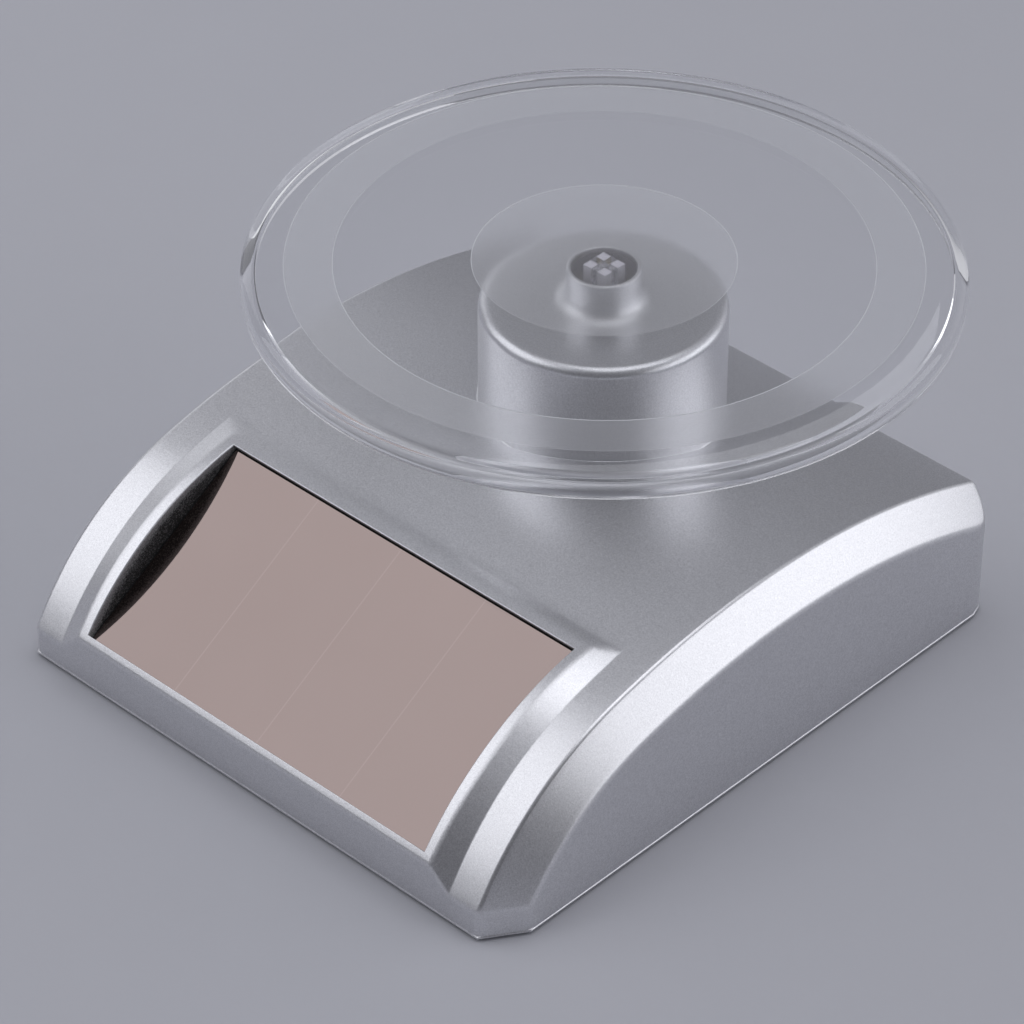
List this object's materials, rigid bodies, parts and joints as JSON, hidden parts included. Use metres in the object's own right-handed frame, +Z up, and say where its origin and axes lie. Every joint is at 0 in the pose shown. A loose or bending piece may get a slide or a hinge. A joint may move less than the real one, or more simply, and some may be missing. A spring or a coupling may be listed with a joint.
{
  "type": "turntable display stand",
  "caption": "Arched silver base with a sloping solar panel and a raised tower; a clear round plate on the tower is turned by a small geared motor.",
  "frame": {"origin": "middle of the whole object's outline, on the surface it stands on", "axes": "+Z up, +Y towards the back, X across; the panel faces -Y"},
  "size_m": [0.1, 0.1198, 0.053],
  "materials": {
    "silver_paint": "satin metallic silver paint on moulded plastic",
    "grey_plastic": "finely textured moulding",
    "foot_rubber": "matt",
    "screw_steel": "zinc plated",
    "black_plastic": "semi-matt moulding",
    "panel_glass": "polished",
    "cell_film": "thin brown semiconductor film",
    "foam_tape": "closed-cell foam",
    "clear_plastic": "clear moulded plastic with frosted areas",
    "natural_acetal": "smooth moulding",
    "bush_brass": "turned",
    "washer_nylon": "smooth",
    "dark_plastic": "moulded",
    "pin_steel": "ground",
    "motor_steel": "drawn can, nickel plated",
    "cell_wrap": "printed film, plain",
    "contact_nickel": "nickel plated spring steel",
    "board_green": "solder mask",
    "lead_pvc": "insulated wire"
  },
  "bodies": {
    "base": {"top_housing": "silver_paint", "bottom_cover": "grey_plastic", "rubber_feet": "foot_rubber", "housing_screws": "screw_steel", "panel_frame": "black_plastic", "panel_glass": "panel_glass", "solar_cells": "cell_film", "panel_foam_tape": "foam_tape", "shaft_bush": "bush_brass", "thrust_washer": "washer_nylon", "gearbox_top_plate": "dark_plastic", "gearbox_base_plate": "dark_plastic", "gearbox_screws": "screw_steel", "idler_pins": "pin_steel", "motor_can": "motor_steel", "motor_end_cap": "washer_nylon", "motor_screws": "screw_steel", "battery_cell": "cell_wrap", "battery_contact": "contact_nickel", "battery_spring": "contact_nickel", "switch_body": "black_plastic", "circuit_board": "board_green", "board_parts": "black_plastic", "panel_leads": "lead_pvc", "battery_leads": "lead_pvc", "motor_leads": "lead_pvc"},
    "turntable": {"turntable_plate": "clear_plastic", "output_shaft": "natural_acetal", "output_wheel": "natural_acetal"},
    "idler_1": {"idler_gear_1": "natural_acetal"},
    "idler_2": {"idler_gear_2": "natural_acetal"},
    "motor_rotor": {"motor_shaft": "pin_steel", "motor_pinion": "bush_brass"},
    "battery_hatch": {"battery_door": "grey_plastic"},
    "switch_slider": {"switch_knob": "black_plastic"}
  },
  "joints": [
    {"name": "turntable_spin", "type": "hinge", "parent": "base", "child": "turntable", "pos_m": [0, 0.0099, 0.05], "axis": [0, 0, 1], "continuous": true},
    {"name": "idler_2_spin", "type": "hinge", "parent": "base", "child": "idler_2", "pos_m": [-0.01222, 0.00545, 0.02], "axis": [0, 0, 1], "continuous": true},
    {"name": "idler_1_spin", "type": "hinge", "parent": "base", "child": "idler_1", "pos_m": [-0.00777, -0.00676, 0.02], "axis": [0, 0, 1], "continuous": true},
    {"name": "motor_spin", "type": "hinge", "parent": "base", "child": "motor_rotor", "pos_m": [0.00523, -0.00676, 0.02], "axis": [0, 0, 1], "continuous": true},
    {"name": "battery_hatch_slide", "type": "slide", "parent": "base", "child": "battery_hatch", "axis": [0, 1, 0], "range_m": [0, 0.018]},
    {"name": "switch_slide", "type": "slide", "parent": "base", "child": "switch_slider", "axis": [1, 0, 0], "range_m": [0, 0.0024]}
  ],
  "couplings": [
    {"joint": "idler_2_spin", "follows": "turntable_spin", "ratio": -4.2},
    {"joint": "idler_1_spin", "follows": "turntable_spin", "ratio": 17.64},
    {"joint": "motor_spin", "follows": "turntable_spin", "ratio": -74.088}
  ]
}
